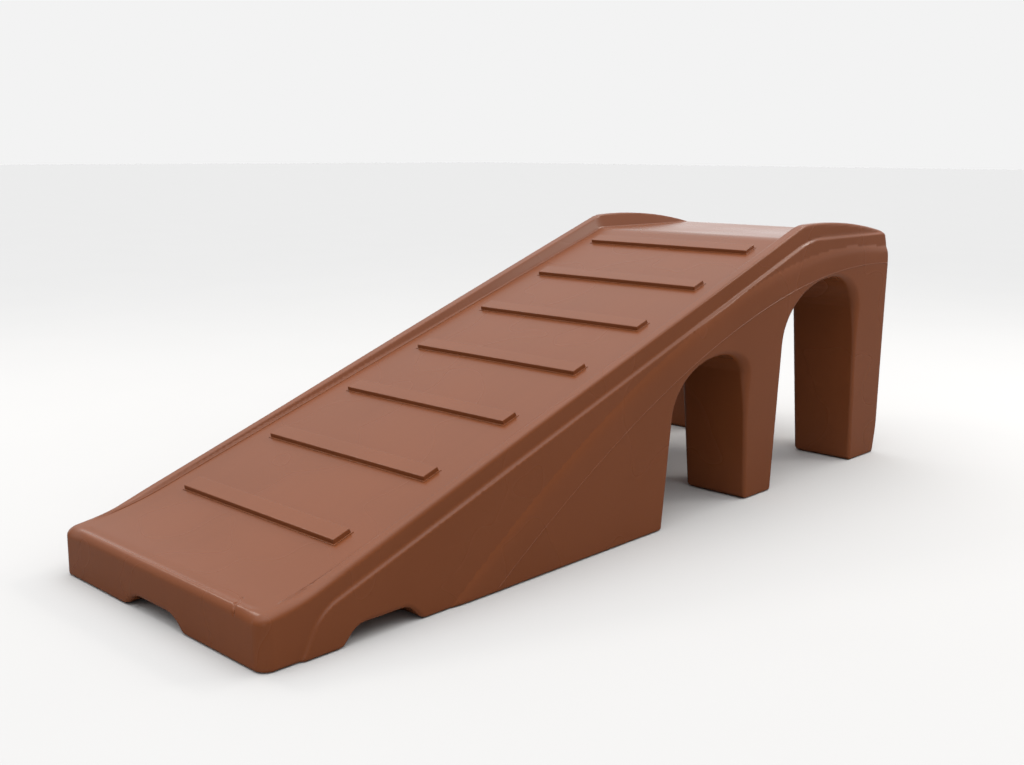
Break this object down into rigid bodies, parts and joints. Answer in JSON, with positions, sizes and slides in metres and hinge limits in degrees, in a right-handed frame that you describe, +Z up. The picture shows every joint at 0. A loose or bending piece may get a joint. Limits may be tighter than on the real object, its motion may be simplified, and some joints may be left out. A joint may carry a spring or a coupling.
{
  "type": "dog ramp",
  "caption": "Rigid moulded pet ramp: sloped deck with cross bars and low curbs, rising to a level platform on arched hollow legs.",
  "frame": {"origin": "on the floor at the middle of the ramp's footprint", "axes": "+Y runs up the ramp from the nose to the platform, +Z is up, +X is to the right when looking up the ramp"},
  "size_m": [0.467, 1.374, 0.4359],
  "materials": {
    "shell_plastic": "semi-gloss moulded polyethylene, chocolate brown",
    "bar_plastic": "semi-gloss moulded plastic, chocolate brown",
    "pad_rubber": "matte ribbed rubber"
  },
  "bodies": {
    "root": {"deck_shell": "shell_plastic", "base_shell": "shell_plastic", "vent_plug": "pad_rubber", "tread_bar_1": "bar_plastic", "tread_bar_2": "bar_plastic", "tread_bar_3": "bar_plastic", "tread_bar_4": "bar_plastic", "tread_bar_5": "bar_plastic", "tread_bar_6": "bar_plastic", "tread_bar_7": "bar_plastic", "foot_pad_nose_left": "pad_rubber", "foot_pad_nose_right": "pad_rubber", "foot_pad_wedge_left": "pad_rubber", "foot_pad_wedge_right": "pad_rubber", "foot_pad_mid_left": "pad_rubber", "foot_pad_mid_right": "pad_rubber", "foot_pad_rear_left": "pad_rubber", "foot_pad_rear_right": "pad_rubber"}
  },
  "joints": []
}
